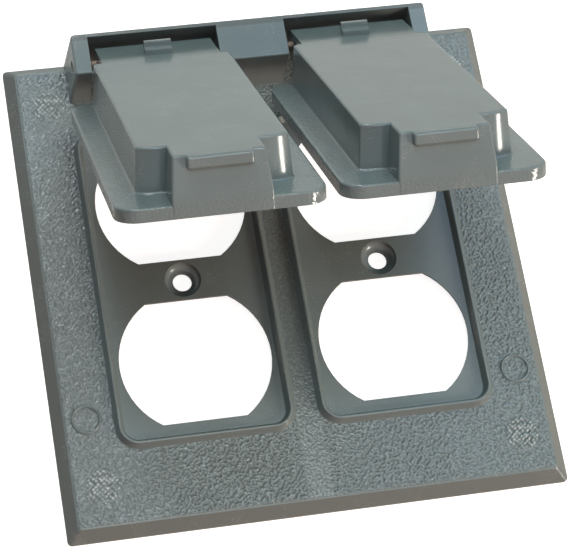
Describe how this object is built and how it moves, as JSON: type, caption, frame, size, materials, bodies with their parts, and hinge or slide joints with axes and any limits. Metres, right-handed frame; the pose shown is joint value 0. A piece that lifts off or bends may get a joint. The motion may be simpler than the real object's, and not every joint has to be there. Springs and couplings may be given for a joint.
{
  "type": "weatherproof outlet cover",
  "caption": "Bevelled metal wall plate with duplex outlet openings inside raised rims, and a spring-hinged lid that flips down over each pair.",
  "frame": {"origin": "centre of the plate's back face, which lies against the wall or, here, on the ground", "axes": "+Z out of the wall, up from the plate's back; +Y towards the hinges; +X to the right with the hinges at the top; the lids are stored part open"},
  "size_m": [0.1142, 0.116, 0.0847],
  "materials": {
    "grey_enamel": "semi-gloss grey enamel on die-cast metal, hammered on the plate's face and smooth on the lids",
    "pin_steel": "plain steel pin",
    "spring_steel": "drawn stainless wire",
    "gasket_foam": "matt closed-cell foam"
  },
  "bodies": {
    "base": {"base_plate": "grey_enamel", "plate_gasket": "gasket_foam", "hinge_pin_left": "pin_steel", "hinge_pin_right": "pin_steel", "torsion_spring_left": "spring_steel", "torsion_spring_right": "spring_steel"},
    "left_lid": {"lid_left": "grey_enamel", "lid_gasket_left": "gasket_foam"},
    "right_lid": {"lid_right": "grey_enamel", "lid_gasket_right": "gasket_foam"}
  },
  "joints": [
    {"name": "left_lid_hinge", "type": "hinge", "parent": "base", "child": "left_lid", "pos_m": [-0.02302, 0.0509, 0.01455], "axis": [-1, 0, 0], "range_deg": [-49, 55], "deforming": ["torsion_spring_left"]},
    {"name": "right_lid_hinge", "type": "hinge", "parent": "base", "child": "right_lid", "pos_m": [0.02302, 0.0509, 0.01455], "axis": [-1, 0, 0], "range_deg": [-49, 55], "deforming": ["torsion_spring_right"]}
  ]
}
